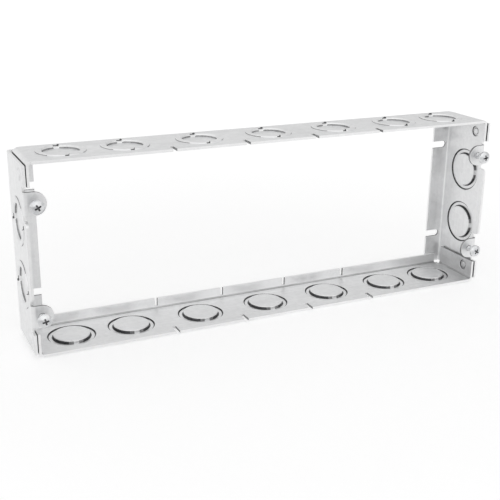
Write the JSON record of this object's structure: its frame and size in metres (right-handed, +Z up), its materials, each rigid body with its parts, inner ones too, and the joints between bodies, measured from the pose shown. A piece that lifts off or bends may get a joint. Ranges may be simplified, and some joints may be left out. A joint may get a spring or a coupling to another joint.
{
  "type": "multi-gang extension ring",
  "caption": "Shallow rectangular ring of folded galvanized steel that deepens a row of electrical boxes, with concentric conduit knockouts, slotted back flanges and screw ears for a cover.",
  "frame": {"origin": "under the middle of the whole part, at the lowest faces of the bottom side's knockout rings", "axes": "+X along the ring, +Y towards its back flanges, +Z up; the cover screws' heads face -Y"},
  "size_m": [0.313, 0.0488, 0.116],
  "materials": {
    "galvanized_sheet": "pre-galvanized mild steel sheet, satin, with bright sheared edges",
    "zinc_plated_screw": "bright zinc plating"
  },
  "bodies": {
    "root": {"bottom_side": "galvanized_sheet", "top_side": "galvanized_sheet", "left_end": "galvanized_sheet", "right_end": "galvanized_sheet", "cover_screws": "zinc_plated_screw"}
  },
  "joints": []
}
